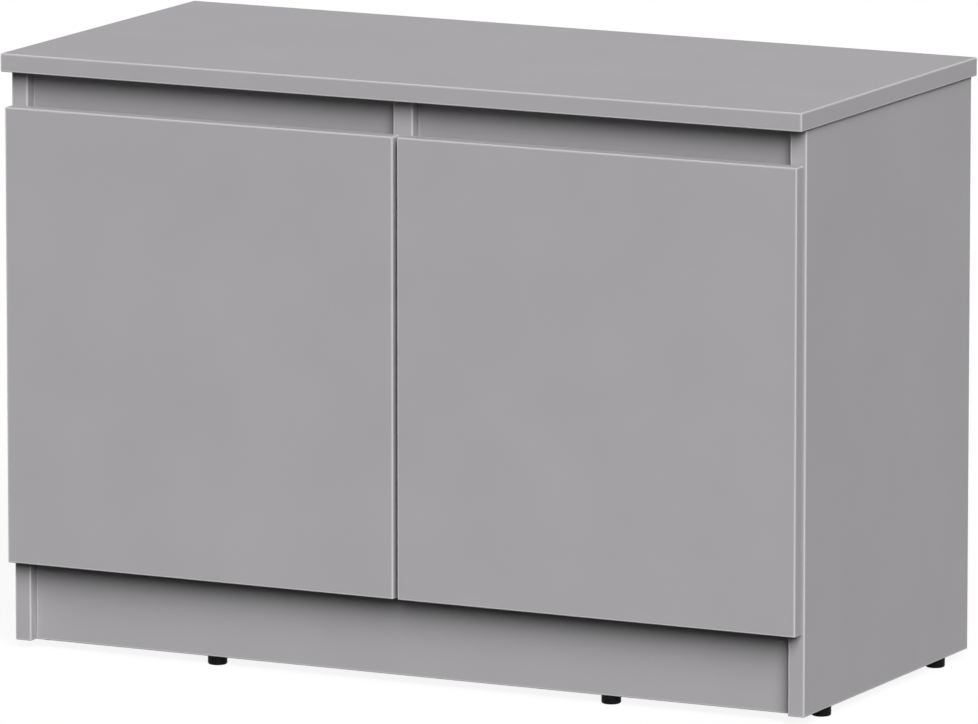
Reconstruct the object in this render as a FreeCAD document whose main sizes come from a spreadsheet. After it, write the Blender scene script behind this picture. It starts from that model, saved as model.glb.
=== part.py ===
import FreeCAD, Part
import os
from collections import defaultdict
from types import SimpleNamespace

# A low cabinet with two hinged doors, in melamine-faced board on small glides.
# X runs to the right, Y to the back and Z up. The origin is on the floor under the middle.

SIZES = {
    # Top panel and carcase boards
    "top_width": 900,
    "top_depth": 420,
    "top_board": 19,
    "side_overhang": 3,
    "rear_overhang": 7,
    "side_board": 18,
    "side_height": 592,
    "divider_board": 22,
    "floor_board": 18,
    "trim_board": 18,
    "plinth_height": 86,
    "rail_height": 70,
    "front_recess": 12,
    "rear_recess": 15,
    "back_board": 3,
    "back_margin": 2,
    "back_parting": 1,
    # Shelves and their pins, in rows of holes; the pins' height is above the middle of the doors
    "shelf_board": 16,
    "shelf_setback": 20,
    "shelf_play": 1,
    "shelf_pin_height": 13,
    "shelf_pin_diameter": 5,
    "shelf_pin_reach": 8,
    "shelf_pin_bite": 7.5,
    "shelf_pin_margin": 60,
    "shelf_row_pitch": 32,
    "seat_gap": 0.1,
    # Doors
    "door_board": 16,
    "door_gap": 2.5,
    "door_reveal": 2,
    "door_parting": 5,
    "door_foot": 84,
    "finger_gap": 36,
    "bumper_diameter": 8,
    "bumper_gap": 0.2,
    "bumper_inset": 5,
    "bumper_margin": 40,
    # Concealed hinges, each turning on one pin in its cup
    "hinge_margin": 90,
    "cup_diameter": 35,
    "cup_edge": 3,
    "cup_wall": 0.8,
    "cup_floor_gap": 0.2,
    "flange_sheet": 1,
    "flange_lip": 1,
    "wing_width": 14,
    "wing_offset": 6,
    "wing_spacing": 48,
    "pin_diameter": 2.5,
    "pin_depth": 9,
    "pin_play": 0.05,
    "knuckle_diameter": 4,
    "knuckle_length": 7,
    "knuckle_room": 0.5,
    "ear_thickness": 2.4,
    "ear_width": 4.4,
    "ear_gap": 0.3,
    "arm_sheet": 1.6,
    "arm_bend": 5,
    "arm_width": 12,
    "arm_reach": 60,
    "plate_rise": 9,
    "plate_sheet": 2.2,
    "plate_setback": 37,
    "plate_spacing": 32,
    "plate_wing": 13,
    "rib_setback": 12,
    "arm_screw_margin": 9,
    # Screws: head, shank and length
    "screw_diameter": 3.4,
    "screw_tip": 3,
    "plate_screw_head": 7,
    "plate_screw_rise": 2,
    "plate_screw_length": 15,
    "cup_screw_head": 6.4,
    "cup_screw_rise": 1.1,
    "cup_screw_length": 12,
    "arm_screw_head": 7,
    "arm_screw_rise": 2.2,
    "arm_screw_length": 8,
    "back_screw_head": 6.6,
    "back_screw_rise": 1.6,
    "back_screw_length": 16,
    "back_screw_margin": 30,
    "divider_screw_head": 10,
    "divider_screw_sink": 3,
    "divider_screw_shank": 7,
    "divider_screw_thread": 5,
    "divider_screw_bite": 32,
    # Cam locks, cam bolts and dowels
    "cam_diameter": 15,
    "cam_depth": 12.5,
    "cam_line": 9,
    "cam_setback": 34,
    "cam_margin": 60,
    "bolt_bore": 7.6,
    "bolt_shank": 6.4,
    "bolt_thread": 5,
    "bolt_bite": 10,
    "dowel_diameter": 8,
    "dowel_length": 32,
    "dowel_bite": 10,
    "dowel_step": 32,
    "rail_fitting_pitch": 15,
    "plinth_fitting_pitch": 28,
    "fitting_slack": 0.15,
    # Glides and their nails
    "glide_height": 9,
    "glide_diameter": 20,
    "glide_rounding": 2,
    "glide_margin": 60,
    "nail_diameter": 2.4,
    "nail_root": 6,
    "nail_bite": 15,
}
SHELF_ROWS_ABOVE_AND_BELOW = 2
BACK_SCREWS_PER_EDGE = 4

doc = FreeCAD.newDocument("Cabinet")
sheet = doc.addObject("Spreadsheet::Sheet", "Sizes")
for row, (alias, length) in enumerate(SIZES.items(), start=1):
    sheet.set(f"A{row}", alias)
    sheet.set(f"B{row}", str(length))
    sheet.setAlias(f"B{row}", alias)
doc.recompute()


class Size:
    """A length written as a formula over the sheet's cells, so that what is bound to it follows them."""

    def __init__(self, formula):
        self.formula = formula

    def __str__(self):
        return self.formula

    def __add__(self, other):
        return Size(f"({self} + {other})")

    def __sub__(self, other):
        return Size(f"({self} - {other})")

    def __neg__(self):
        return Size(f"(-1 * {self})")

    def __mul__(self, times):
        return Size(f"({self} * {times})")

    def __truediv__(self, parts):
        return Size(f"({self} / {parts})")


mm = SimpleNamespace(**{alias: Size(f"Sizes.{alias}") for alias in SIZES})
ZERO = Size("0")
WAYS = {
    "+X": FreeCAD.Vector(1, 0, 0),
    "-X": FreeCAD.Vector(-1, 0, 0),
    "+Y": FreeCAD.Vector(0, 1, 0),
    "-Y": FreeCAD.Vector(0, -1, 0),
    "+Z": FreeCAD.Vector(0, 0, 1),
    "-Z": FreeCAD.Vector(0, 0, -1),
}


def back_from(way):
    """The opposite of a way along an axis."""
    return ("-" if way[0] == "+" else "+") + way[1]


def shifted(point, way, distance):
    """A point moved along a way."""
    step = distance if way[0] == "+" else -distance
    return tuple(place + step if axis == way[1] else place for axis, place in zip("XYZ", point))


def placed(made, point, rotation=FreeCAD.Rotation()):
    """An object set at a point whose three coordinates follow the sheet."""
    made.Placement = FreeCAD.Placement(FreeCAD.Vector(), rotation)
    for axis, place in zip("xyz", point):
        made.setExpression(f"Placement.Base.{axis}", str(place))
    return made


def block(low, high):
    """A box between its lowest and highest corners."""
    made = doc.addObject("Part::Box", "Block")
    for side, start, end in zip(("Length", "Width", "Height"), low, high):
        made.setExpression(side, str(end - start))
    return placed(made, low)


def rod(start, way, length, diameter):
    """A round bar, or the drill that makes a hole for one."""
    made = doc.addObject("Part::Cylinder", "Rod")
    made.setExpression("Radius", str(diameter / 2))
    made.setExpression("Height", str(length))
    return placed(made, start, FreeCAD.Rotation(WAYS["+Z"], WAYS[way]))


def taper(start, way, length, first_diameter, last_diameter):
    """A cone, such as a screw's point or its sunk head."""
    made = doc.addObject("Part::Cone", "Taper")
    made.setExpression("Radius1", str(first_diameter / 2))
    made.setExpression("Radius2", str(last_diameter / 2))
    made.setExpression("Height", str(length))
    return placed(made, start, FreeCAD.Rotation(WAYS["+Z"], WAYS[way]))


def joined(solids):
    """Solids fused into one."""
    made = doc.addObject("Part::MultiFuse", "Joined")
    made.Shapes = solids
    return made


def pierced(solid, cutters):
    """A solid less one or more cutters."""
    made = doc.addObject("Part::Cut", "Pierced")
    made.Base = solid
    made.Tool = cutters[0] if len(cutters) == 1 else joined(cutters)
    return made


# Planes that the boards share

half_width = mm.top_width / 2 - mm.side_overhang
inner = half_width - mm.side_board
core = mm.divider_board / 2
front = mm.door_board + mm.door_gap - mm.top_depth / 2
rear = mm.top_depth / 2 - mm.rear_overhang
trim_front = front + mm.front_recess
trim_back = trim_front + mm.trim_board
rear_plinth_front = rear - mm.rear_recess - mm.trim_board
base = mm.glide_height
crown = base + mm.side_height
floor_under = base + mm.plinth_height
floor_top = floor_under + mm.floor_board
rail_foot = crown - mm.rail_height
door_back = front - mm.door_gap
door_front = door_back - mm.door_board
door_low = base + mm.door_foot
door_high = crown - mm.finger_gap
shelf_pin_level = (door_low + door_high) / 2 + mm.shelf_pin_height
shelf_under = shelf_pin_level + mm.shelf_pin_diameter / 2 + mm.seat_gap


def from_side(side, distance):
    """X of a place that lies a distance in from a side panel's outer face."""
    return distance - half_width if side == "left" else half_width - distance


def from_middle(side, distance):
    """X of a place that lies a distance out from the middle of the cabinet."""
    return -distance if side == "left" else ZERO + distance


def between(side, near, far):
    """Lowest and highest X of what lies between two distances in from a side's outer face."""
    ends = (from_side(side, near), from_side(side, far))
    return ends if side == "left" else ends[::-1]


SIDES = ("left", "right")
INWARD = {"left": "+X", "right": "-X"}
OUTWARD = {"left": "-X", "right": "+X"}

# Boards, as boxes; the fittings further down add the holes that are drilled in them

boards = {
    "top_panel": (
        (-mm.top_width / 2, -mm.top_depth / 2, crown),
        (mm.top_width / 2, mm.top_depth / 2, crown + mm.top_board),
    ),
    "centre_divider": ((-core, front, floor_top), (core, rear, crown)),
    "bottom_panel": ((-inner, front, floor_under), (inner, rear, floor_top)),
    "front_plinth": ((-inner, trim_front, base), (inner, trim_back, floor_under)),
    "rear_plinth": (
        (-inner, rear_plinth_front, base),
        (inner, rear_plinth_front + mm.trim_board, floor_under),
    ),
}
for side in SIDES:
    side_low, side_high = between(side, ZERO, mm.side_board)
    bay_low, bay_high = between(side, mm.side_board, half_width - core)
    shelf_low, shelf_high = between(side, mm.side_board + mm.shelf_play, half_width - core - mm.shelf_play)
    door_left, door_right = between(side, mm.door_reveal, half_width - mm.door_parting / 2)
    back_left, back_right = between(side, mm.back_margin, half_width - mm.back_parting / 2)
    boards[f"{side}_side_panel"] = ((side_low, front, base), (side_high, rear, crown))
    boards[f"{side}_upper_rail"] = ((bay_low, trim_front, rail_foot), (bay_high, trim_back, crown))
    boards[f"{side}_shelf"] = (
        (shelf_low, front + mm.shelf_setback, shelf_under),
        (shelf_high, rear - mm.shelf_play, shelf_under + mm.shelf_board),
    )
    boards[f"{side}_door"] = ((door_left, door_front, door_low), (door_right, door_back, door_high))
    boards[f"{side}_back_panel"] = (
        (back_left, rear, floor_under + mm.back_margin),
        (back_right, rear + mm.back_board, crown - mm.back_margin),
    )
holes = defaultdict(list)
groups = defaultdict(list)
nodes = {}


def cam_fitting(joint, house, anchor, seat, into, toward):
    """A cam lock sunk in one board's face, and its bolt through that board's edge into the next."""
    crossing = shifted(seat, into, mm.cam_line)
    meeting = shifted(crossing, toward, mm.cam_setback)
    bore = rod(crossing, toward, mm.cam_setback, mm.bolt_bore)
    holes[house].append(rod(seat, into, mm.cam_depth, mm.cam_diameter + mm.fitting_slack))
    holes[house].append(bore)
    holes[anchor].append(rod(meeting, toward, mm.bolt_bite, mm.bolt_thread + mm.fitting_slack))
    groups[f"{joint}_cam_locks"].append(pierced(rod(seat, into, mm.cam_depth, mm.cam_diameter), [bore]))
    shank = rod(crossing, toward, mm.cam_setback, mm.bolt_shank)
    groups[f"{joint}_cam_bolts"].append(joined([shank, rod(meeting, toward, mm.bolt_bite, mm.bolt_thread)]))


def dowel(joint, edge_board, face_board, meeting, toward):
    """A wood dowel, mostly in one board's edge and the rest in the face of the next."""
    tip = shifted(meeting, toward, mm.dowel_bite)
    away = back_from(toward)
    drill = rod(tip, away, mm.dowel_length, mm.dowel_diameter + mm.fitting_slack)
    holes[edge_board].append(drill)
    holes[face_board].append(drill)
    groups[f"{joint}_dowels"].append(rod(tip, away, mm.dowel_length, mm.dowel_diameter))


def screw(group, through, seat, way, head, rise, length):
    """A pan-head screw that stands on its seat and is driven through the boards or plates named."""
    shank_length = length - mm.screw_tip
    point = taper(shifted(seat, way, shank_length), way, mm.screw_tip, mm.screw_diameter, ZERO)
    shank = rod(seat, way, shank_length, mm.screw_diameter)
    groups[group].append(joined([rod(seat, back_from(way), rise, head), shank, point]))
    drill = rod(seat, way, length, mm.screw_diameter + mm.fitting_slack)
    for board in through:
        holes[board].append(drill)
    return drill


# Fittings of the top, on the sides and the divider

TOP_FITTINGS = (
    ("left_side_panel", -inner, "-X", -half_width + mm.side_board / 2),
    ("right_side_panel", inner, "+X", half_width - mm.side_board / 2),
    ("centre_divider", -core, "+X", ZERO),
)
FITTING_LINES = (
    (front + mm.cam_margin, front + mm.cam_margin + mm.dowel_step),
    (rear - mm.cam_margin, rear - mm.cam_margin - mm.dowel_step),
)
for board, face, into, middle in TOP_FITTINGS:
    for cam_y, dowel_y in FITTING_LINES:
        cam_fitting("top", board, "top_panel", (face, cam_y, crown - mm.cam_setback), into, "+Z")
        dowel("top", board, "top_panel", (middle, dowel_y, crown), "+Z")

# Fittings of the bottom panel, whose cams open downwards

for side in SIDES:
    for cam_y, dowel_y in FITTING_LINES:
        cam_seat = (from_side(side, mm.side_board + mm.cam_setback), cam_y, floor_under)
        cam_fitting("bottom", "bottom_panel", f"{side}_side_panel", cam_seat, "+Z", OUTWARD[side])
        meeting = (from_side(side, mm.side_board), dowel_y, floor_under + mm.floor_board / 2)
        dowel("bottom", "bottom_panel", f"{side}_side_panel", meeting, OUTWARD[side])

# Fittings of the upper rails, at four heights so that those of the two rails miss each other in the divider

RAIL_STEPS = {"left": (1, 3), "right": (2, 4)}
for side in SIDES:
    cam_z, dowel_z = (rail_foot + mm.rail_fitting_pitch * step for step in RAIL_STEPS[side])
    rail = f"{side}_upper_rail"
    rail_ends = (
        (f"{side}_side_panel", from_side(side, mm.side_board), OUTWARD[side]),
        ("centre_divider", from_middle(side, core), INWARD[side]),
    )
    for anchor, end, toward in rail_ends:
        cam_seat = shifted((end, trim_back, cam_z), back_from(toward), mm.cam_setback)
        cam_fitting("rail", rail, anchor, cam_seat, "-Y", toward)
        dowel("rail", rail, anchor, (end, trim_front + mm.trim_board / 2, dowel_z), toward)

# Fittings of the plinths, with the cams on the faces that look into the cabinet

PLINTHS = (
    ("front_plinth", trim_back, "-Y", trim_front + mm.trim_board / 2),
    ("rear_plinth", rear_plinth_front, "+Y", rear_plinth_front + mm.trim_board / 2),
)
for plinth, face, into, middle in PLINTHS:
    for side in SIDES:
        cam_seat = (
            from_side(side, mm.side_board + mm.cam_setback),
            face,
            base + mm.plinth_fitting_pitch,
        )
        cam_fitting("plinth", plinth, f"{side}_side_panel", cam_seat, into, OUTWARD[side])
        meeting = (from_side(side, mm.side_board), middle, base + mm.plinth_fitting_pitch * 2)
        dowel("plinth", plinth, f"{side}_side_panel", meeting, OUTWARD[side])


def divider_screw(seat, slack):
    """A sunk screw up through the bottom panel, or with slack, the hole for one."""
    head_end = shifted(seat, "+Z", mm.divider_screw_sink)
    meeting = shifted(seat, "+Z", mm.floor_board)
    shank = mm.divider_screw_shank + slack
    return joined([
        taper(seat, "+Z", mm.divider_screw_sink, mm.divider_screw_head + slack, shank),
        rod(head_end, "+Z", mm.floor_board - mm.divider_screw_sink, shank),
        rod(meeting, "+Z", mm.divider_screw_bite, mm.divider_screw_thread + slack),
    ])


for place in (front + mm.cam_margin, (front + rear) / 2, rear - mm.cam_margin):
    seat = (ZERO, place, floor_under)
    groups["divider_screws"].append(divider_screw(seat, ZERO))
    drill = divider_screw(seat, mm.fitting_slack)
    holes["bottom_panel"].append(drill)
    holes["centre_divider"].append(drill)

# Screws that hold the back panels to the sides, the divider and the bottom panel

back_face = rear + mm.back_board
for side in SIDES:
    back_panel = f"{side}_back_panel"
    edges = (
        (f"{side}_side_panel", from_side(side, mm.side_board / 2)),
        ("centre_divider", from_middle(side, core / 2)),
    )
    lowest = floor_top + mm.back_screw_margin
    rise = (crown - mm.back_screw_margin - lowest) / (BACK_SCREWS_PER_EDGE - 1)
    run = (inner - core - mm.back_screw_margin * 2) / (BACK_SCREWS_PER_EDGE - 1)
    for step in range(BACK_SCREWS_PER_EDGE):
        for board, edge_x in edges:
            screw("back_panel_screws", (back_panel, board), (edge_x, back_face, lowest + rise * step), "-Y",
                  mm.back_screw_head, mm.back_screw_rise, mm.back_screw_length)
        floor_x = from_middle(side, core + mm.back_screw_margin + run * step)
        floor_seat = (floor_x, back_face, floor_under + mm.floor_board / 2)
        screw("back_panel_screws", (back_panel, "bottom_panel"), floor_seat, "-Y",
              mm.back_screw_head, mm.back_screw_rise, mm.back_screw_length)

# Shelf pins, each in one hole of a row that the shelf can be moved along

pin_bore = mm.shelf_pin_diameter + mm.fitting_slack
for side in SIDES:
    pin_walls = (
        (f"{side}_side_panel", from_side(side, mm.side_board), OUTWARD[side]),
        ("centre_divider", from_middle(side, core), INWARD[side]),
    )
    for wall, face, into in pin_walls:
        for column in (front + mm.shelf_pin_margin, rear - mm.shelf_pin_margin):
            for step in range(-SHELF_ROWS_ABOVE_AND_BELOW, SHELF_ROWS_ABOVE_AND_BELOW + 1):
                mouth = (face, column, shelf_pin_level + mm.shelf_row_pitch * step)
                holes[wall].append(rod(mouth, into, mm.shelf_pin_bite, pin_bore))
            tip = shifted((face, column, shelf_pin_level), back_from(into), mm.shelf_pin_reach)
            pin = rod(tip, into, mm.shelf_pin_reach + mm.shelf_pin_bite, mm.shelf_pin_diameter)
            groups[f"{side}_shelf_pins"].append(pin)

# Hinges: distances in from the side's outer face, and forward from the carcase's front

cup_middle = mm.door_reveal + mm.cup_edge + mm.cup_diameter / 2
cup_depth = mm.pin_depth + mm.knuckle_diameter / 2 + mm.cup_floor_gap + mm.cup_wall
pin_inset = mm.door_reveal + mm.cup_edge + mm.cup_wall + mm.knuckle_room + mm.knuckle_diameter / 2
pin_forward = mm.door_gap + mm.pin_depth
neck_forward = pin_forward + mm.knuckle_diameter / 2
strip_inset = mm.side_board + mm.plate_rise
strip_outer = strip_inset + mm.arm_sheet
ear_start = mm.knuckle_length / 2 + mm.ear_gap
pin_half_length = ear_start + mm.ear_thickness


def piece(side, level, nearest, furthest, backmost, foremost, half_height):
    """A block of a hinge, level with its middle."""
    low_x, high_x = between(side, nearest, furthest)
    low = (low_x, front - foremost, level - half_height)
    return block(low, (high_x, front - backmost, level + half_height))


def pin_bar(side, level, half_length, diameter):
    """A bar on the axis that the door turns about."""
    foot = (from_side(side, pin_inset), front - pin_forward, level - half_length)
    return rod(foot, "+Z", half_length * 2, diameter)


def hinge_cup(side, level, name):
    """A pressed cup let into the door's back, with a screwed flange and two ears that hold the pin."""
    rim = (from_side(side, cup_middle), door_back, level)
    lip = shifted(rim, "+Y", mm.flange_sheet)
    bowl = rod(rim, "-Y", cup_depth, mm.cup_diameter)
    solids = [bowl, rod(lip, "-Y", mm.flange_sheet, mm.cup_diameter + mm.flange_lip * 2)]
    wing_middle = cup_middle + mm.wing_offset
    flange_forward = mm.door_gap - mm.flange_sheet
    solids.append(piece(side, level, wing_middle - mm.wing_width / 2, wing_middle + mm.wing_width / 2,
                        flange_forward, mm.door_gap, mm.wing_spacing / 2))
    cavity = rod(lip, "-Y", cup_depth - mm.cup_wall + mm.flange_sheet, mm.cup_diameter - mm.cup_wall * 2)
    cutters = [cavity]
    for way in ("+Z", "-Z"):
        seat = shifted((from_side(side, wing_middle), lip[1], level), way, mm.wing_spacing / 2)
        solids.append(rod(seat, "-Y", mm.flange_sheet, mm.wing_width))
        cutters.append(screw(f"{side}_cup_screws", (f"{side}_door",), seat, "-Y",
                             mm.cup_screw_head, mm.cup_screw_rise, mm.cup_screw_length))
    ears = []
    for way in ("+Z", "-Z"):
        middle = shifted((rim[0], rim[1], level), way, ear_start + mm.ear_thickness / 2)[2]
        ears.append(piece(side, middle, pin_inset - mm.ear_width / 2, pin_inset + mm.ear_width / 2,
                          pin_forward - mm.ear_width / 2, mm.door_gap + cup_depth, mm.ear_thickness / 2))
    trimmed = doc.addObject("Part::Common", "Ears")
    trimmed.Base = joined(ears)
    trimmed.Tool = bowl
    pin_hole = pin_bar(side, level, pin_half_length, mm.pin_diameter + mm.pin_play * 2)
    nodes[f"{name}_cup"] = pierced(joined([pierced(joined(solids), cutters), trimmed]), [pin_hole])
    nodes[f"{name}_pin"] = pin_bar(side, level, pin_half_length, mm.pin_diameter)
    holes[f"{side}_door"].append(rod(rim, "-Y", cup_depth, mm.cup_diameter + mm.fitting_slack))


def bend_quarter(side, level, radius):
    """A quarter of a round bar at the arm's bend, on the bend's own centre."""
    centre = (from_side(side, strip_outer - mm.arm_bend), front - neck_forward + mm.arm_bend,
              level - mm.knuckle_length / 2)
    made = doc.addObject("Part::Cylinder", "Bend")
    made.Angle = 90
    made.setExpression("Radius", str(radius))
    made.setExpression("Height", str(mm.knuckle_length))
    turn = {"left": -90, "right": 180}[side]
    return placed(made, centre, FreeCAD.Rotation(WAYS["+Z"], turn))


def hinge_arm(side, level, name):
    """A bent strip: a flat tail on the mounting plate, and a hooked neck that ends round the pin."""
    half_knuckle = mm.knuckle_length / 2
    tail = piece(side, level, strip_inset, strip_outer, -mm.arm_reach, neck_forward - mm.arm_bend,
                 mm.arm_width / 2)
    neck = piece(side, level, pin_inset, strip_outer - mm.arm_bend, neck_forward - mm.arm_sheet, neck_forward,
                 half_knuckle)
    bend = pierced(bend_quarter(side, level, mm.arm_bend),
                   [bend_quarter(side, level, mm.arm_bend - mm.arm_sheet)])
    knuckle = pin_bar(side, level, half_knuckle, mm.knuckle_diameter)
    cutters = [pin_bar(side, level, half_knuckle, mm.pin_diameter + mm.pin_play * 2)]
    for setback in (mm.rib_setback + mm.arm_screw_margin, mm.arm_reach - mm.arm_screw_margin):
        seat = (from_side(side, strip_outer), front + setback, level)
        cutters.append(screw("hinge_arm_screws", (f"{name}_plate",), seat, OUTWARD[side],
                             mm.arm_screw_head, mm.arm_screw_rise, mm.arm_screw_length))
    nodes[f"{name}_arm"] = pierced(joined([tail, neck, bend, knuckle]), cutters)


def hinge_plate(side, level, name):
    """A mounting plate on the side's inner face: a raised rib under the arm and two screwed wings."""
    plate_top = mm.side_board + mm.plate_sheet
    half_wing = mm.plate_wing / 2
    rib = piece(side, level, mm.side_board, strip_inset, -mm.arm_reach, -mm.rib_setback, mm.arm_width / 2)
    wing = piece(side, level, mm.side_board, plate_top, -mm.plate_setback - half_wing,
                 half_wing - mm.plate_setback, mm.plate_spacing / 2)
    solids = [rib, wing]
    middle = (from_side(side, plate_top), front + mm.plate_setback, level)
    for way in ("+Z", "-Z"):
        seat = shifted(middle, way, mm.plate_spacing / 2)
        solids.append(rod(seat, OUTWARD[side], mm.plate_sheet, mm.plate_wing))
        screw("hinge_plate_screws", (f"{name}_plate", f"{side}_side_panel"), seat, OUTWARD[side],
              mm.plate_screw_head, mm.plate_screw_rise, mm.plate_screw_length)
    nodes[f"{name}_plate"] = pierced(joined(solids), holes[f"{name}_plate"])


for side in SIDES:
    for height, level in (("upper", door_high - mm.hinge_margin), ("lower", door_low + mm.hinge_margin)):
        name = f"{side}_{height}_hinge"
        hinge_cup(side, level, name)
        hinge_arm(side, level, name)
        hinge_plate(side, level, name)

# Bumpers behind the doors' free edges, which meet the divider

for side in SIDES:
    for level in (door_high - mm.bumper_margin, door_low + mm.bumper_margin):
        bumper_seat = (from_middle(side, mm.door_parting / 2 + mm.bumper_inset), door_back, level)
        bumper = rod(bumper_seat, "+Y", mm.door_gap - mm.bumper_gap, mm.bumper_diameter)
        groups[f"{side}_door_bumpers"].append(bumper)


def glide(group, board, x, y):
    """A round plastic foot with a rounded lower edge, nailed up into a board's lower edge."""
    body = doc.addObject("PartDesign::Body", "Glide")
    disc = body.newObject("PartDesign::AdditiveCylinder", "Disc")
    disc.setExpression("Radius", str(mm.glide_diameter / 2))
    disc.setExpression("Height", str(mm.glide_height))
    doc.recompute()
    lower_edge = min(range(len(disc.Shape.Edges)), key=lambda k: disc.Shape.Edges[k].CenterOfMass.z)
    rounding = body.newObject("PartDesign::Fillet", "Rounding")
    rounding.Base = (disc, [f"Edge{lower_edge + 1}"])
    rounding.setExpression("Radius", str(mm.glide_rounding))
    socket = body.newObject("PartDesign::SubtractiveCylinder", "Socket")
    socket.setExpression("Radius", str((mm.nail_diameter + mm.fitting_slack) / 2))
    socket.setExpression("Height", str(mm.nail_root))
    placed(socket, (ZERO, ZERO, mm.glide_height - mm.nail_root))
    body.Tip = socket
    groups[group].append(placed(body, (x, y, ZERO)))
    nail_foot = (x, y, base - mm.nail_root)
    nail_length = mm.nail_root + mm.nail_bite
    groups["glide_nails"].append(rod(nail_foot, "+Z", nail_length, mm.nail_diameter))
    holes[board].append(rod(nail_foot, "+Z", nail_length, mm.nail_diameter + mm.fitting_slack))


for side in SIDES:
    for y in (front + mm.glide_margin, rear - mm.glide_margin):
        glide(f"{side}_side_glides", f"{side}_side_panel", from_side(side, mm.side_board / 2), y)
    for plinth, _, _, middle in PLINTHS:
        glide(f"{plinth}_glides", plinth, from_middle(side, half_width / 2), middle)

# Boards with their holes, and groups of like fittings

for name, (low, high) in boards.items():
    nodes[name] = pierced(block(low, high), holes[name]) if holes[name] else block(low, high)
for name, solids in groups.items():
    nodes[name] = doc.addObject("Part::Compound", "Group")
    nodes[name].Links = solids
for name, made in nodes.items():
    made.Label = name

doc.recompute()
for made in doc.Objects:
    if {"Invalid", "Error"} & set(made.State):
        raise RuntimeError(f"{made.Label} ({made.TypeId}) was not computed: {made.State}")
for name, made in nodes.items():
    if made.Shape.isNull() or not made.Shape.isValid():
        raise RuntimeError(f"{name} has no valid shape")
    expected = len(groups[name]) if name in groups else 1
    if len(made.Shape.Solids) != expected:
        raise RuntimeError(f"{name} has {len(made.Shape.Solids)} solids, not {expected}")

os.makedirs("parts", exist_ok=True)
for name, made in nodes.items():
    made.Shape.exportStep(f"parts/{name}.step")
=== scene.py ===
import math

import bmesh
import bpy
import numpy as np
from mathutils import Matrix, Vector


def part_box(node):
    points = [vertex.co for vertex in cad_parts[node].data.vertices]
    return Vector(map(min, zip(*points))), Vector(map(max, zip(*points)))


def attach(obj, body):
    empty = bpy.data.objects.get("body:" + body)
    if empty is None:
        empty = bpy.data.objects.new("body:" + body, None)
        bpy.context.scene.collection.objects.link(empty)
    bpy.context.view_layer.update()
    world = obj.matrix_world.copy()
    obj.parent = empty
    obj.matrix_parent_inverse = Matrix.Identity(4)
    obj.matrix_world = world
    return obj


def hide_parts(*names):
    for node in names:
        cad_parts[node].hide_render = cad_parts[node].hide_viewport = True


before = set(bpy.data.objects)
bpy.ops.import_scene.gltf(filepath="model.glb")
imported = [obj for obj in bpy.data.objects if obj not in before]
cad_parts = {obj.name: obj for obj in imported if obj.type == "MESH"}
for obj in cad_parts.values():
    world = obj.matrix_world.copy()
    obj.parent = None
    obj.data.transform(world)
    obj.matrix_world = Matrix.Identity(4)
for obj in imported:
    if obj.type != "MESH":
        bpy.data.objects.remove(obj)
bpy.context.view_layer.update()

# Side panels
# Two upright boards of chipboard, faced with plain grey melamine. Grey edging is glued round the
# edges and scraped to a small round. A pale line is painted along each corner of a board: mostly a
# painted highlight on that round, partly the whitening of the scraped edging.

MELAMINE_GREY = (0.366, 0.356, 0.367, 1)
# The paler grey painted along each corner of a board: mostly a painted highlight, partly scrape whitening
# of the edging.
SCRAPED_AND_HIGHLIGHT_GREY = (0.48, 0.47, 0.48, 1)
CHIP_PALE = (0.52, 0.37, 0.22, 1)
CHIP_DARK = (0.22, 0.13, 0.07, 1)
CHIP_SCALE = 420
EDGING_ROUND = 0.001
HIGHLIGHT_LINE = 0.002
LINE_CORE_SHARE = 0.75
BORE_START = 0.0005
BORE_BLEND_SHARE = 0.8
NOISE_DETAIL = 3
NOISE_MIDDLE = 0.5
TONE_SWING = 0.04
GLOSS_SWING = 0.06
CORNER_STEPS = 3
ROUND_PROFILE = 0.5
SAME_PLACE = 1e-6
SAME_PLANE = 1e-5
FLAT = math.radians(0.5)
CREASE = math.radians(35)


def add_node(tree, kind, inputs=(), **settings):
    """A node in a tree, with its settings made and its inputs set or linked."""
    made = tree.nodes.new(kind)
    for name, value in settings.items():
        setattr(made, name, value)
    for socket, value in dict(inputs).items():
        if isinstance(value, bpy.types.NodeSocket):
            tree.links.new(value, made.inputs[socket])
        else:
            made.inputs[socket].default_value = value
    return made


def worked(tree, operation, *values):
    """The result of a sum in a tree."""
    return add_node(tree, "ShaderNodeMath", enumerate(values), operation=operation).outputs[0]


def ranged(tree, value, start, end, first, last):
    """A value that goes smoothly from first to last as another goes from start to end."""
    sockets = enumerate((value, start, end, first, last))
    return add_node(tree, "ShaderNodeMapRange", sockets, interpolation_type="SMOOTHSTEP").outputs[0]


def mixed(tree, share, first, second, blend="MIX"):
    """A colour mixed with a share of another."""
    colours = {0: share, 6: first, 7: second}
    return add_node(tree, "ShaderNodeMix", colours, data_type="RGBA", blend_type=blend).outputs[2]


def shader_group(name, inputs, outputs):
    """A group of shader nodes that gives out values, with the sockets inside it."""
    group = bpy.data.node_groups.new(name, "ShaderNodeTree")
    for label, value in inputs.items():
        socket = group.interface.new_socket(label, in_out="INPUT", socket_type="NodeSocketFloat")
        socket.default_value = value
    for label in outputs:
        group.interface.new_socket(label, in_out="OUTPUT", socket_type="NodeSocketFloat")
    return group, group.nodes.new("NodeGroupInput").outputs, group.nodes.new("NodeGroupOutput").inputs


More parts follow.
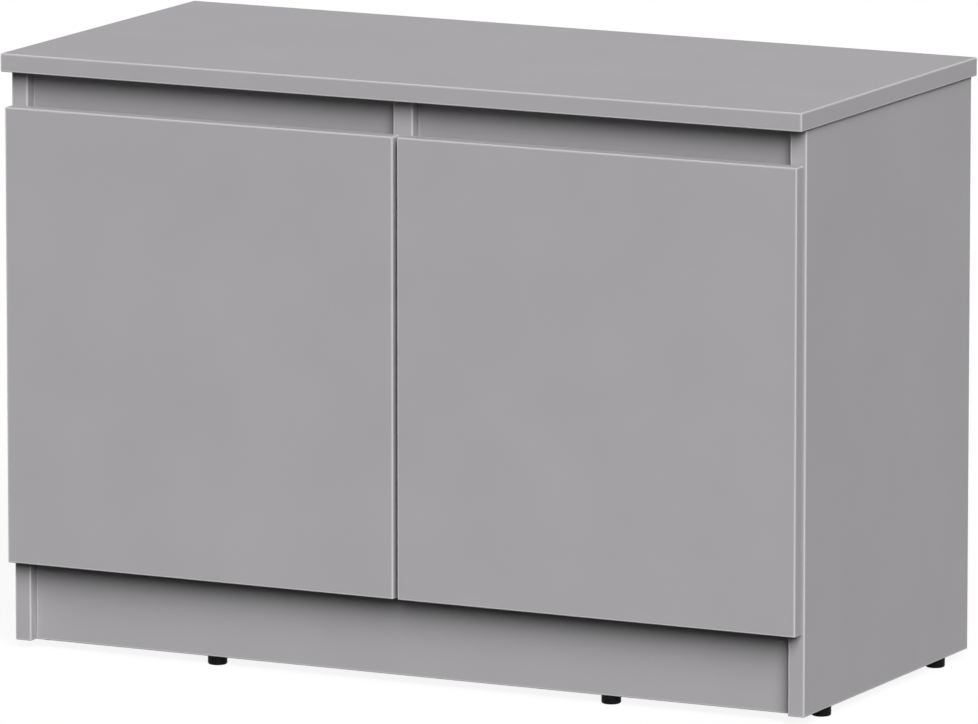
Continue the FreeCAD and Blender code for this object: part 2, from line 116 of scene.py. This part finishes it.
grain_defaults = {"Cloud Scale": 9, "Cloud Amount": 0.1, "Grain Scale": 1300, "Grain Amount": 0.12}
surface_grain, grain_in, grain_out = shader_group("Surface grain", grain_defaults, ("Tone", "Height"))
grain_place = add_node(surface_grain, "ShaderNodeTexCoord").outputs["Object"]
grain_parts = []
for part in ("Cloud", "Grain"):
    sockets = {"Vector": grain_place, "Scale": grain_in[f"{part} Scale"], "Detail": NOISE_DETAIL}
    noise = add_node(surface_grain, "ShaderNodeTexNoise", sockets).outputs["Fac"]
    swing = worked(surface_grain, "SUBTRACT", noise, NOISE_MIDDLE)
    grain_parts.append(worked(surface_grain, "MULTIPLY", swing, grain_in[f"{part} Amount"]))
tone = worked(surface_grain, "ADD", worked(surface_grain, "ADD", *grain_parts), 1.0)
surface_grain.links.new(tone, grain_out["Tone"])
surface_grain.links.new(noise, grain_out["Height"])

# The arris output is a painted highlight mask: a band a Line wide along each corner of a board's box,
# full over three quarters of it and fading over the rest.
board_edges, edges_in, edges_out = shader_group("Board edges", {"Line": HIGHLIGHT_LINE}, ("Arris Highlight", "Core"))
ends = []
for label in ("from_low", "from_high"):
    stored = add_node(board_edges, "ShaderNodeAttribute", attribute_name=label).outputs["Vector"]
    ends.append(add_node(board_edges, "ShaderNodeSeparateXYZ", {0: stored}).outputs)
near_x, near_y, near_z = (worked(board_edges, "MINIMUM", ends[0][k], ends[1][k]) for k in range(3))
lesser = worked(board_edges, "MINIMUM", near_x, near_y)
greater = worked(board_edges, "MAXIMUM", near_x, near_y)
least = worked(board_edges, "MINIMUM", lesser, near_z)
to_corner = worked(board_edges, "MAXIMUM", lesser, worked(board_edges, "MINIMUM", greater, near_z))
line_start = worked(board_edges, "MULTIPLY", edges_in["Line"], LINE_CORE_SHARE)
arris_highlight = ranged(board_edges, to_corner, line_start, edges_in["Line"], 1.0, 0.0)
board_edges.links.new(arris_highlight, edges_out["Arris Highlight"])
core = ranged(board_edges, least, BORE_START * BORE_BLEND_SHARE, BORE_START, 0.0, 1.0)
board_edges.links.new(core, edges_out["Core"])


def grained_finish(name, colour, roughness, relief, grain, **uniform):
    """A material of one colour, with a fine grain in its tone, its gloss and its surface."""
    finish = bpy.data.materials.new(name)
    finish.use_nodes = True
    tree = finish.node_tree
    shader = tree.nodes["Principled BSDF"]
    for socket, value in uniform.items():
        shader.inputs[socket.replace("_", " ")].default_value = value
    surface = add_node(tree, "ShaderNodeGroup", grain, node_tree=surface_grain)
    toned = mixed(tree, 1.0, colour, surface.outputs["Tone"], "MULTIPLY")
    tones = (surface.outputs["Tone"], 1 - TONE_SWING, 1 + TONE_SWING)
    gloss = ranged(tree, *tones, roughness - GLOSS_SWING, roughness + GLOSS_SWING)
    bump = add_node(tree, "ShaderNodeBump", {"Distance": relief, "Height": surface.outputs["Height"]})
    tree.links.new(toned, shader.inputs["Base Color"])
    tree.links.new(gloss, shader.inputs["Roughness"])
    tree.links.new(bump.outputs[0], shader.inputs["Normal"])
    return finish, tree, shader, toned


melamine, tree, shader, toned = grained_finish(
    "Grey melamine", MELAMINE_GREY, roughness=0.78, relief=0.00003, grain={}, Specular_IOR_Level=0.02)
edges = add_node(tree, "ShaderNodeGroup", node_tree=board_edges)
chip_place = add_node(tree, "ShaderNodeTexCoord").outputs["Object"]
sockets = {"Vector": chip_place, "Scale": CHIP_SCALE}
chips = add_node(tree, "ShaderNodeTexVoronoi", sockets).outputs["Color"]
chip_share = add_node(tree, "ShaderNodeSeparateColor", {0: chips}).outputs[0]
chip_colour = mixed(tree, chip_share, CHIP_DARK, CHIP_PALE)
# Painted highlight: the base colour turns to the paler grey along each corner of a board.
highlighted = mixed(tree, edges.outputs["Arris Highlight"], toned, SCRAPED_AND_HIGHLIGHT_GREY)
tree.links.new(mixed(tree, edges.outputs["Core"], highlighted, chip_colour), shader.inputs["Base Color"])


def merged_copy(node):
    """A copy of a CAD node's mesh with its loose triangles joined and its flat faces made whole."""
    shape = bmesh.new()
    shape.from_mesh(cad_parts[node].data)
    bmesh.ops.remove_doubles(shape, verts=shape.verts, dist=SAME_PLACE)
    bmesh.ops.dissolve_limit(shape, angle_limit=FLAT, verts=shape.verts, edges=shape.edges)
    return shape


def is_corner(edge, low, high):
    """Whether an edge is one of the twelve of its board's box."""
    planes = 0
    for axis in range(3):
        for plane in (low[axis], high[axis]):
            planes += all(abs(end.co[axis] - plane) < SAME_PLANE for end in edge.verts)
    return planes > 1


def rounded_board(node, rounding):
    """A CAD board with rounded corners, which keeps how far each point is from the ends of its box."""
    low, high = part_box(node)
    shape = merged_copy(node)
    corners = [edge for edge in shape.edges if is_corner(edge, low, high)]
    bmesh.ops.bevel(shape, geom=corners, offset=rounding, segments=CORNER_STEPS, profile=ROUND_PROFILE,
                    affect="EDGES")
    mesh = bpy.data.meshes.new(node)
    shape.to_mesh(mesh)
    shape.free()
    places = np.empty(len(mesh.vertices) * 3, np.float32)
    mesh.vertices.foreach_get("co", places)
    places = places.reshape(-1, 3)
    distances = {"from_low": places - np.array(low), "from_high": np.array(high) - places}
    for label, distance in distances.items():
        stored = mesh.attributes.new(label, "FLOAT_VECTOR", "POINT")
        stored.data.foreach_set("vector", distance.astype(np.float32).ravel())
    return mesh


def fitted(mesh, name, body, slot, *nodes):
    """A finished piece that stands for CAD nodes and moves with a body."""
    mesh.shade_smooth()
    mesh.set_sharp_from_angle(angle=CREASE)
    piece = bpy.data.objects.new(name, mesh)
    bpy.context.scene.collection.objects.link(piece)
    piece.modifiers.new("Level faces", "WEIGHTED_NORMAL").keep_sharp = True
    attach(piece, body)
    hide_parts(*nodes)


def melamine_board(node, body):
    """A melamine-faced board in place of its CAD node."""
    mesh = rounded_board(node, EDGING_ROUND)
    mesh.materials.append(melamine)
    fitted(mesh, f"board.{node}", body, "melamine_board", node)


for side in ("left", "right"):
    melamine_board(f"{side}_side_panel", "carcase")

# Glides
# Round black feet moulded in hard plastic, with a rounded lower edge. Each is nailed up into the
# lower edge of a side or a plinth, two to a board.

GLIDE_BLACK = (0.004, 0.004, 0.0044, 1)
NAIL_STEEL = (0.42, 0.42, 0.43, 1)


def refinished(node, finish):
    """A CAD node whose shape is right, given a finish."""
    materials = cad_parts[node].data.materials
    materials.clear()
    materials.append(finish)


moulded = {"Cloud Scale": 60, "Grain Scale": 2600, "Grain Amount": 0.3}
glide_plastic = grained_finish(
    "Black glide plastic", GLIDE_BLACK, roughness=0.5, relief=0.00004, grain=moulded,
    Specular_IOR_Level=0.06)[0]
drawn = {"Cloud Scale": 220, "Cloud Amount": 0.1, "Grain Scale": 5200, "Grain Amount": 0.06}
bright_steel = grained_finish(
    "Bright steel wire", NAIL_STEEL, roughness=0.34, relief=0.00001, grain=drawn, Metallic=1.0)[0]
for board in ("left_side", "right_side", "front_plinth", "rear_plinth"):
    refinished(f"{board}_glides", glide_plastic)
refinished("glide_nails", bright_steel)

# Plinths, bottom, divider, upper rails and top
# The rest of the carcase, in the same grey board. The divider is thicker than the sides, and the top
# reaches forward over the doors. The front plinth and the rails stand back from the boards beside them.

CARCASE_BOARDS = ("front_plinth", "rear_plinth", "bottom_panel", "centre_divider", "left_upper_rail",
                  "right_upper_rail", "top_panel")
for node in CARCASE_BOARDS:
    melamine_board(node, "carcase")

# Dowels, cam bolts and divider screws
# What holds the boards together inside them: turned beech dowels glued in one end, steel bolts that
# the cam locks pull on, and three long sunk screws up through the bottom into the divider.

BEECH = (0.62, 0.43, 0.26, 1)
turnings = {"Cloud Scale": 120, "Cloud Amount": 0.5}
beech = grained_finish("Beech", BEECH, roughness=0.6, relief=0.0001, grain=turnings)[0]
for joint in ("top", "bottom", "rail", "plinth"):
    refinished(f"{joint}_dowels", beech)
    refinished(f"{joint}_cam_bolts", bright_steel)
refinished("divider_screws", bright_steel)

# Cam locks
# Die-cast zinc discs sunk in the boards, each with a cross slot to turn it by, an arrow that points
# to its bolt, and a bore for the bolt's head. They are what repeats, so Geometry Nodes make them.

ZINC_GREY = (0.50, 0.50, 0.51, 1)
CAM = {"Diameter": 0.015, "Depth": 0.0125, "Rim": 0.0006, "Slot Span": 0.0092, "Slot Width": 0.0019,
       "Slot Depth": 0.0034, "Bolt Line": 0.009, "Bore": 0.0076}
ARROW_SIDES = 3
ARROW_RIMS = 2.0
ARROW_PLACE_SHARE = 0.74
LEFT_SIDE_LIMIT = -0.2
ROUND_SIDES = 48


def seat_tree(name, sizes):
    """A tree of Geometry Nodes with its sizes and a material as named inputs."""
    tree = bpy.data.node_groups.new(name, "GeometryNodeTree")
    tree.interface.new_socket("Seats", in_out="INPUT", socket_type="NodeSocketGeometry")
    for label, length in sizes.items():
        socket = tree.interface.new_socket(label, in_out="INPUT", socket_type="NodeSocketFloat")
        socket.default_value = length
    tree.interface.new_socket("Finish", in_out="INPUT", socket_type="NodeSocketMaterial")
    tree.interface.new_socket("Pieces", in_out="OUTPUT", socket_type="NodeSocketGeometry")
    return tree, tree.nodes.new("NodeGroupInput").outputs


def chosen(tree, index, values):
    """A field that gives the first value at index 0, the next at 1, and so on."""
    switch = add_node(tree, "GeometryNodeIndexSwitch", data_type="FLOAT")
    for _ in values[2:]:
        switch.index_switch_items.new()
    for place, value in enumerate((index, *values)):
        if isinstance(value, bpy.types.NodeSocket):
            tree.links.new(value, switch.inputs[place])
        else:
            switch.inputs[place].default_value = value
    return switch.outputs[0]


def turned(tree, outline):
    """A round solid turned from an outline of radii and heights, from its outer end inwards."""
    index = tree.nodes.new("GeometryNodeInputIndex").outputs[0]
    radius, height = (chosen(tree, index, column) for column in zip(*outline))
    line = add_node(tree, "GeometryNodeCurvePrimitiveLine").outputs[0]
    axis = add_node(tree, "GeometryNodeResampleCurve", {"Curve": line, "Count": len(outline)}).outputs[0]
    up = add_node(tree, "ShaderNodeCombineXYZ", {"Z": height}).outputs[0]
    axis = add_node(tree, "GeometryNodeSetPosition", {"Geometry": axis, "Position": up}).outputs[0]
    ring = add_node(tree, "GeometryNodeCurvePrimitiveCircle", {"Resolution": ROUND_SIDES, "Radius": 1.0})
    sockets = {"Curve": axis, "Profile Curve": ring.outputs[0], "Scale": radius, "Fill Caps": True}
    return add_node(tree, "GeometryNodeCurveToMesh", sockets).outputs[0]


def moved(tree, solid, place, turn=(0, 0, 0)):
    """A solid in a tree, turned and then moved."""
    sockets = {"Geometry": solid, "Translation": place, "Rotation": turn}
    return add_node(tree, "GeometryNodeTransform", sockets).outputs[0]


def cut_away(tree, solid, cutters):
    """A solid in a tree less its cutters."""
    settings = {"operation": "DIFFERENCE", "solver": "EXACT"}
    cut = add_node(tree, "GeometryNodeMeshBoolean", {"Mesh 1": solid}, **settings)
    for cutter in cutters:
        tree.links.new(cutter, cut.inputs["Mesh 2"])
    return cut.outputs["Mesh"]


def cross_slot(tree, span, width, depth, level):
    """The two bars that sink a cross slot below a level."""
    height = worked(tree, "MULTIPLY", depth, 2.0)
    size = add_node(tree, "ShaderNodeCombineXYZ", {0: span, 1: width, 2: height}).outputs[0]
    bar = add_node(tree, "GeometryNodeMeshCube", {"Size": size}).outputs[0]
    place = add_node(tree, "ShaderNodeCombineXYZ", {2: level}).outputs[0]
    return [moved(tree, bar, place), moved(tree, bar, place, (0, 0, math.pi / 2))]


def along(tree, name, axis, rotation=None, pivot="AUTO"):
    """A rotation that lays an axis of a piece along a way kept at its seat."""
    way = add_node(tree, "GeometryNodeInputNamedAttribute", {"Name": name}, data_type="FLOAT_VECTOR")
    sockets = {"Vector": way.outputs[0]}
    if rotation:
        sockets["Rotation"] = rotation
    settings = {"axis": axis, "pivot_axis": pivot}
    return add_node(tree, "FunctionNodeAlignRotationToVector", sockets, **settings).outputs[0]


def set_out(tree, given, solid, rotation):
    """The end of a tree: a solid on each seat, made plain mesh with its finish."""
    sockets = {"Points": given["Seats"], "Instance": solid, "Rotation": rotation}
    pieces = add_node(tree, "GeometryNodeInstanceOnPoints", sockets).outputs[0]
    real = add_node(tree, "GeometryNodeRealizeInstances", {"Geometry": pieces}).outputs[0]
    sockets = {"Geometry": real, "Material": given["Finish"]}
    finished = add_node(tree, "GeometryNodeSetMaterial", sockets).outputs[0]
    tree.links.new(finished, tree.nodes.new("NodeGroupOutput").inputs["Pieces"])


def grown(tree, seats, finish, sizes):
    """The plain mesh that a tree makes on seats, each a place and the ways that a piece faces there."""
    points = bpy.data.meshes.new("Seats")
    points.from_pydata([place for place, _ in seats], [], [])
    for label in seats[0][1]:
        stored = points.attributes.new(label, "FLOAT_VECTOR", "POINT")
        stored.data.foreach_set("vector", [number for _, ways in seats for number in ways[label]])
    holder = bpy.data.objects.new("Seats", points)
    bpy.context.scene.collection.objects.link(holder)
    modifier = holder.modifiers.new("Pieces", "NODES")
    modifier.node_group = tree
    values = {**sizes, "Finish": finish}
    for item in tree.interface.items_tree:
        if item.in_out == "INPUT" and item.name in values:
            modifier[item.identifier] = values[item.name]
    made = holder.evaluated_get(bpy.context.evaluated_depsgraph_get())
    mesh = bpy.data.meshes.new_from_object(made)
    bpy.data.objects.remove(holder)
    shape = bmesh.new()
    shape.from_mesh(mesh)
    bmesh.ops.remove_doubles(shape, verts=shape.verts, dist=SAME_PLACE)
    bmesh.ops.dissolve_degenerate(shape, edges=shape.edges, dist=SAME_PLACE)
    bmesh.ops.recalc_face_normals(shape, faces=shape.faces)
    shape.to_mesh(mesh)
    shape.free()
    return mesh


def solids_of(node):
    """Lowest and highest corners of each solid in a CAD node."""
    shape = merged_copy(node)
    unmet = set(shape.verts)
    boxes = []
    while unmet:
        solid = [unmet.pop()]
        for vertex in solid:
            fresh = {edge.other_vert(vertex) for edge in vertex.link_edges} & unmet
            unmet -= fresh
            solid.extend(fresh)
        places = [vertex.co for vertex in solid]
        low = Vector(min(place[k] for place in places) for k in range(3))
        high = Vector(max(place[k] for place in places) for k in range(3))
        boxes.append((low, high))
    shape.free()
    return sorted(boxes, key=lambda box: tuple(box[0]))


def outer_end(low, high, way):
    """The middle of the face of a box that looks a way."""
    middle = (low + high) / 2
    reach = (high - low) / 2
    return middle + Vector(reach[k] * way[k] for k in range(3))


cam_tree, given = seat_tree("Cam lock", CAM)
cam_radius = worked(cam_tree, "MULTIPLY", given["Diameter"], 0.5)
face_radius = worked(cam_tree, "SUBTRACT", cam_radius, given["Rim"])
cam_foot = worked(cam_tree, "MULTIPLY", given["Depth"], -1.0)
rim_under = worked(cam_tree, "MULTIPLY", given["Rim"], -1.0)
foot_over = worked(cam_tree, "ADD", cam_foot, given["Rim"])
cam_outline = (
    (face_radius, 0.0),
    (cam_radius, rim_under),
    (cam_radius, foot_over),
    (face_radius, cam_foot),
)
disc = turned(cam_tree, cam_outline)
slot = cross_slot(cam_tree, given["Slot Span"], given["Slot Width"], given["Slot Depth"], 0.0)
bore_radius = worked(cam_tree, "MULTIPLY", given["Bore"], 0.5)
sockets = {"Radius": bore_radius, "Depth": given["Diameter"]}
bore = add_node(cam_tree, "GeometryNodeMeshCylinder", sockets).outputs[0]
bolt_line = worked(cam_tree, "MULTIPLY", given["Bolt Line"], -1.0)
bolt_place = add_node(cam_tree, "ShaderNodeCombineXYZ", {0: cam_radius, 2: bolt_line}).outputs[0]
bore = moved(cam_tree, bore, bolt_place, (0, math.pi / 2, 0))
arrow_radius = worked(cam_tree, "MULTIPLY", given["Rim"], ARROW_RIMS)
sockets = {"Vertices": ARROW_SIDES, "Radius": arrow_radius, "Depth": given["Rim"]}
arrow = add_node(cam_tree, "GeometryNodeMeshCylinder", sockets).outputs[0]
arrow_reach = worked(cam_tree, "MULTIPLY", cam_radius, ARROW_PLACE_SHARE)
arrow_place = add_node(cam_tree, "ShaderNodeCombineXYZ", {0: arrow_reach}).outputs[0]
arrow = moved(cam_tree, arrow, arrow_place)
cam_lock = cut_away(cam_tree, disc, [*slot, bore, arrow])
facing = along(cam_tree, "bolt_way", "X", along(cam_tree, "face_way", "Z"), "Z")
set_out(cam_tree, given, cam_lock, facing)

cast = {"Cloud Scale": 160, "Cloud Amount": 0.25, "Grain Scale": 3800, "Grain Amount": 0.2}
zinc = grained_finish("Cast zinc", ZINC_GREY, roughness=0.44, relief=0.00003, grain=cast, Metallic=1.0)[0]
CAM_FACES = {
    "top": lambda middle: (1, 0, 0) if middle.x < LEFT_SIDE_LIMIT else (-1, 0, 0),
    "bottom": lambda middle: (0, 0, -1),
    "rail": lambda middle: (0, 1, 0),
    "plinth": lambda middle: (0, 1, 0) if middle.y < 0 else (0, -1, 0),
}
for joint, face_of in CAM_FACES.items():
    bolts = [(low + high) / 2 for low, high in solids_of(f"{joint}_cam_bolts")]
    cams = []
    for low, high in solids_of(f"{joint}_cam_locks"):
        middle = (low + high) / 2
        offset = min((bolt - middle for bolt in bolts), key=lambda step: step.length)
        axis = max(range(3), key=lambda k: abs(offset[k]))
        bolt_way = tuple(math.copysign(k == axis, offset[k]) for k in range(3))
        face_way = face_of(middle)
        cams.append((outer_end(low, high, face_way), {"face_way": face_way, "bolt_way": bolt_way}))
    locks = grown(cam_tree, cams, zinc, CAM)
    fitted(locks, f"cams.{joint}", "carcase", "zinc_casting", f"{joint}_cam_locks")

# Back panels
# Two sheets of thin hardboard that meet behind the divider: bare brown board outside, and lacquered
# grey on the face that shows inside the cabinet. They are screwed to the carcase from behind.

HARDBOARD_BROWN = (0.235, 0.128, 0.062, 1)
HARDBOARD_ROUND = 0.0003
LOOKS_FORWARD = -0.5
fibres = {"Cloud Scale": 26, "Cloud Amount": 0.3, "Grain Scale": 950, "Grain Amount": 0.5}
hardboard = grained_finish(
    "Bare hardboard", HARDBOARD_BROWN, roughness=0.56, relief=0.00006, grain=fibres)[0]
lacquered = grained_finish(
    "Grey lacquered hardboard", MELAMINE_GREY, roughness=0.5, relief=0.00003, grain={})[0]
for side in ("left", "right"):
    mesh = rounded_board(f"{side}_back_panel", HARDBOARD_ROUND)
    for finish in (hardboard, lacquered):
        mesh.materials.append(finish)
    for face in mesh.polygons:
        face.material_index = int(face.normal.y < LOOKS_FORWARD)
    fitted(mesh, f"sheet.{side}_back_panel", "carcase", "hardboard", f"{side}_back_panel")

# Back panel screws
# Plated pan-head screws with a cross recess, driven from behind through the hardboard. The same tree
# makes the hinges' screws further down.

PLATED_STEEL = (0.60, 0.59, 0.57, 1)
BACK_SCREW = {"Head Diameter": 0.0066, "Head Height": 0.0016, "Shank Diameter": 0.0034, "Length": 0.016,
              "Point Length": 0.003, "Slot Span": 0.0038, "Slot Width": 0.0008, "Slot Depth": 0.0012}
HEAD_SHARES = ((0.62, 1.0), (0.86, 0.84), (0.97, 0.55), (1.0, 0.2), (1.0, 0.0))
SHOULDER_STEP = -0.00001
POINT_SHARE = 0.1
SCREW_SEED = 7


def shared_outline(tree, radius, height, shares):
    """The points of an outline, each at a share of a radius and a share of a height."""
    return [(worked(tree, "MULTIPLY", radius, across), worked(tree, "MULTIPLY", height, up))
            for across, up in shares]


screw_tree, given = seat_tree("Pan-head screw", BACK_SCREW)
head_radius = worked(screw_tree, "MULTIPLY", given["Head Diameter"], 0.5)
shank_radius = worked(screw_tree, "MULTIPLY", given["Shank Diameter"], 0.5)
crown = given["Head Height"]
point = worked(screw_tree, "MULTIPLY", given["Length"], -1.0)
screw_outline = (
    *shared_outline(screw_tree, head_radius, crown, HEAD_SHARES),
    (shank_radius, SHOULDER_STEP),
    (shank_radius, worked(screw_tree, "ADD", point, given["Point Length"])),
    (worked(screw_tree, "MULTIPLY", shank_radius, POINT_SHARE), point),
)
recess = cross_slot(screw_tree, given["Slot Span"], given["Slot Width"], given["Slot Depth"], crown)
pan_head = cut_away(screw_tree, turned(screw_tree, screw_outline), recess)
chance = add_node(screw_tree, "FunctionNodeRandomValue", {3: math.pi, "Seed": SCREW_SEED}).outputs[1]
spun = add_node(screw_tree, "FunctionNodeAxisAngleToRotation", {"Angle": chance}).outputs[0]
turn = {"Rotation": along(screw_tree, "face_way", "Z"), "Rotate By": spun}
turn = add_node(screw_tree, "FunctionNodeRotateRotation", turn, rotation_space="LOCAL").outputs[0]
set_out(screw_tree, given, pan_head, turn)

plating = {"Cloud Scale": 180, "Cloud Amount": 0.12, "Grain Scale": 4200, "Grain Amount": 0.08}
plated_steel = grained_finish(
    "Plated steel", PLATED_STEEL, roughness=0.27, relief=0.00001, grain=plating, Metallic=1.0)[0]


def pan_head_screws(node, body, way_of, sizes):
    """Screws with their cross recess, in place of a CAD node of plain ones."""
    seats = []
    for low, high in solids_of(node):
        way = Vector(way_of((low + high) / 2))
        under_head = outer_end(low, high, way) - way * sizes["Head Height"]
        seats.append((under_head, {"face_way": way}))
    screws = grown(screw_tree, seats, plated_steel, sizes)
    fitted(screws, f"screws.{node}", body, "plated_steel", node)


def backwards(middle):
    """The way that a screw's head looks when it is driven from behind."""
    return (0, 1, 0)


pan_head_screws("back_panel_screws", "carcase", backwards, BACK_SCREW)

# Shelves and shelf pins
# One loose shelf of the same grey board on each side of the divider, on four steel pins pushed into
# rows of holes.

for side in ("left", "right"):
    melamine_board(f"{side}_shelf", "carcase")
    refinished(f"{side}_shelf_pins", bright_steel)

# Hinges
# Concealed hinges in nickel-plated pressed steel. A plate is screwed to the side, a hooked arm lies on
# its rib, and a pin joins the arm to a cup that is let into the door.

NICKEL = (0.66, 0.63, 0.58, 1)
SHEET_ROUND = 0.00025
SHEET_STEPS = 2
SHARP = math.radians(40)
ARM_SCREW = {**BACK_SCREW, "Head Diameter": 0.007, "Head Height": 0.0022, "Length": 0.008,
             "Slot Depth": 0.0015}
PLATE_SCREW = {**BACK_SCREW, "Head Diameter": 0.007, "Head Height": 0.002, "Length": 0.015,
               "Slot Depth": 0.0014}
CUP_SCREW = {**BACK_SCREW, "Head Diameter": 0.0064, "Head Height": 0.0011, "Length": 0.012,
             "Slot Depth": 0.0009}
nickel = grained_finish(
    "Nickel plate", NICKEL, roughness=0.24, relief=0.00001, grain=plating, Metallic=1.0)[0]


def pressed_metal(node, body):
    """A CAD piece of pressed metal with its sharp edges eased."""
    shape = merged_copy(node)
    sharp = [edge for edge in shape.edges if edge.is_manifold and edge.calc_face_angle() > SHARP]
    bmesh.ops.bevel(shape, geom=sharp, offset=SHEET_ROUND, segments=SHEET_STEPS, profile=ROUND_PROFILE,
                    affect="EDGES", clamp_overlap=True)
    mesh = bpy.data.meshes.new(node)
    shape.to_mesh(mesh)
    shape.free()
    mesh.materials.append(nickel)
    fitted(mesh, f"metal.{node}", body, "plated_steel", node)


def inwards(middle):
    """The way that a screw's head looks when it is driven into a side panel from inside."""
    return (-math.copysign(1, middle.x), 0, 0)


for side in ("left", "right"):
    for height in ("upper", "lower"):
        hinge = f"{side}_{height}_hinge"
        pressed_metal(f"{hinge}_plate", "carcase")
        pressed_metal(f"{hinge}_arm", "carcase")
        pressed_metal(f"{hinge}_cup", f"{side}_door")
        refinished(f"{hinge}_pin", bright_steel)
    pan_head_screws(f"{side}_cup_screws", f"{side}_door", backwards, CUP_SCREW)
pan_head_screws("hinge_plate_screws", "carcase", inwards, PLATE_SCREW)
pan_head_screws("hinge_arm_screws", "carcase", inwards, ARM_SCREW)

# Doors and their bumpers
# Two plain overlay doors of grey board with no handles: they are pulled by the gap above them. A soft
# clear bumper behind each free corner meets the divider as the door shuts.

BUMPER_CLEAR = (0.78, 0.79, 0.78, 1)
BUMPER = {"Diameter": 0.008, "Height": 0.0023}
DOME_SHARES = ((0.3, 1.0), (0.58, 0.94), (0.8, 0.76), (0.94, 0.46), (1.0, 0.12), (1.0, 0.0))
TO_DOOR = (0, -1, 0)
TO_DIVIDER = (0, 1, 0)
bumper_tree, given = seat_tree("Bumper", BUMPER)
bumper_radius = worked(bumper_tree, "MULTIPLY", given["Diameter"], 0.5)
dome = turned(bumper_tree, shared_outline(bumper_tree, bumper_radius, given["Height"], DOME_SHARES))
set_out(bumper_tree, given, dome, along(bumper_tree, "face_way", "Z"))
soft = {"Cloud Scale": 90, "Grain Scale": 3000}
rubber = grained_finish(
    "Clear bumper rubber", BUMPER_CLEAR, roughness=0.3, relief=0.00001, grain=soft,
    Transmission_Weight=0.55, IOR=1.42)[0]
for side in ("left", "right"):
    melamine_board(f"{side}_door", f"{side}_door")
    node = f"{side}_door_bumpers"
    feet = [outer_end(low, high, TO_DOOR) for low, high in solids_of(node)]
    seats = [(foot, {"face_way": TO_DIVIDER}) for foot in feet]
    bumpers = grown(bumper_tree, seats, rubber, BUMPER)
    fitted(bumpers, f"bumpers.{side}", f"{side}_door", "bumper_rubber", node)

# Floor, light and camera
# A plain white floor, a wide soft light from the front and right with weak low ones at the left and
# behind, and a long lens from the front right, a little above the top.

WHITE = (1, 1, 1, 1)
FLOOR_SPAN = 120
FLOOR_WHITE = (0.97, 0.97, 0.97, 1)
FLOOR_BOUNCE = (0.05, 0.05, 0.05, 1)
FLOOR_GLOW = 0.9
AMBIENT = 0.1
LIGHTS = {
    "Key light": ((0.515, -0.64, 0.58), 4.54, 45),
    "Left light": ((-0.99, 0.05, 0.10), 1.6, 11),
    "Back light": ((0.05, 0.99, 0.10), 1.6, 11),
}
LENS, SENSOR = 441.7, 36
AIM = Vector((0.00093, 0, 0.30354))
DISTANCE, TURN, DIP = 12.249, math.radians(26.568), math.radians(9.928)


def rays_that_see(tree):
    """Whether a ray comes from the camera, a mirror or glass, and so should meet the white ground."""
    path = add_node(tree, "ShaderNodeLightPath").outputs
    seen = worked(tree, "MAXIMUM", path["Is Camera Ray"], path["Is Glossy Ray"])
    return worked(tree, "MAXIMUM", seen, path["Is Transmission Ray"])


floor_finish = bpy.data.materials.new("White floor")
floor_finish.use_nodes = True
tree = floor_finish.node_tree
tree.nodes.remove(tree.nodes["Principled BSDF"])
shown = add_node(tree, "ShaderNodeBsdfDiffuse", {"Color": FLOOR_WHITE}).outputs[0]
glow = add_node(tree, "ShaderNodeEmission", {"Color": WHITE, "Strength": 1.0}).outputs[0]
shown = add_node(tree, "ShaderNodeMixShader", {0: FLOOR_GLOW, 1: shown, 2: glow}).outputs[0]
thrown = add_node(tree, "ShaderNodeBsdfDiffuse", {"Color": FLOOR_BOUNCE}).outputs[0]
surface = add_node(tree, "ShaderNodeMixShader", {0: rays_that_see(tree), 1: thrown, 2: shown}).outputs[0]
tree.links.new(surface, tree.nodes["Material Output"].inputs["Surface"])
half = FLOOR_SPAN / 2
floor_corners = [(-half, -half, 0), (half, -half, 0), (half, half, 0), (-half, half, 0)]
floor_mesh = bpy.data.meshes.new("Floor")
floor_mesh.from_pydata(floor_corners, [], [(0, 1, 2, 3)])
floor_mesh.materials.append(floor_finish)
floor = bpy.data.objects.new("Floor", floor_mesh)
bpy.context.scene.collection.objects.link(floor)

world = bpy.data.worlds.new("Studio")
world.use_nodes = True
bpy.context.scene.world = world
tree = world.node_tree
strength = ranged(tree, rays_that_see(tree), 0.0, 1.0, AMBIENT, 1.0)
background = tree.nodes["Background"]
background.inputs["Color"].default_value = WHITE
tree.links.new(strength, background.inputs["Strength"])

for name, (place, energy, spread) in LIGHTS.items():
    lamp = bpy.data.lights.new(name, "SUN")
    lamp.energy = energy
    lamp.angle = math.radians(spread)
    light = bpy.data.objects.new(name, lamp)
    light.rotation_euler = Vector(place).to_track_quat("Z", "Y").to_euler()
    bpy.context.scene.collection.objects.link(light)

lens = bpy.data.cameras.new("Camera")
lens.lens, lens.sensor_width, lens.sensor_fit = LENS, SENSOR, "HORIZONTAL"
lens.clip_end = FLOOR_SPAN
camera = bpy.data.objects.new("Camera", lens)
look = Vector((-math.sin(TURN) * math.cos(DIP), math.cos(TURN) * math.cos(DIP), -math.sin(DIP)))
camera.location = AIM - look * DISTANCE
camera.rotation_euler = (math.pi / 2 - DIP, 0, TURN)
bpy.context.scene.collection.objects.link(camera)
bpy.context.scene.camera = camera
bpy.context.scene.view_settings.view_transform = "Standard"
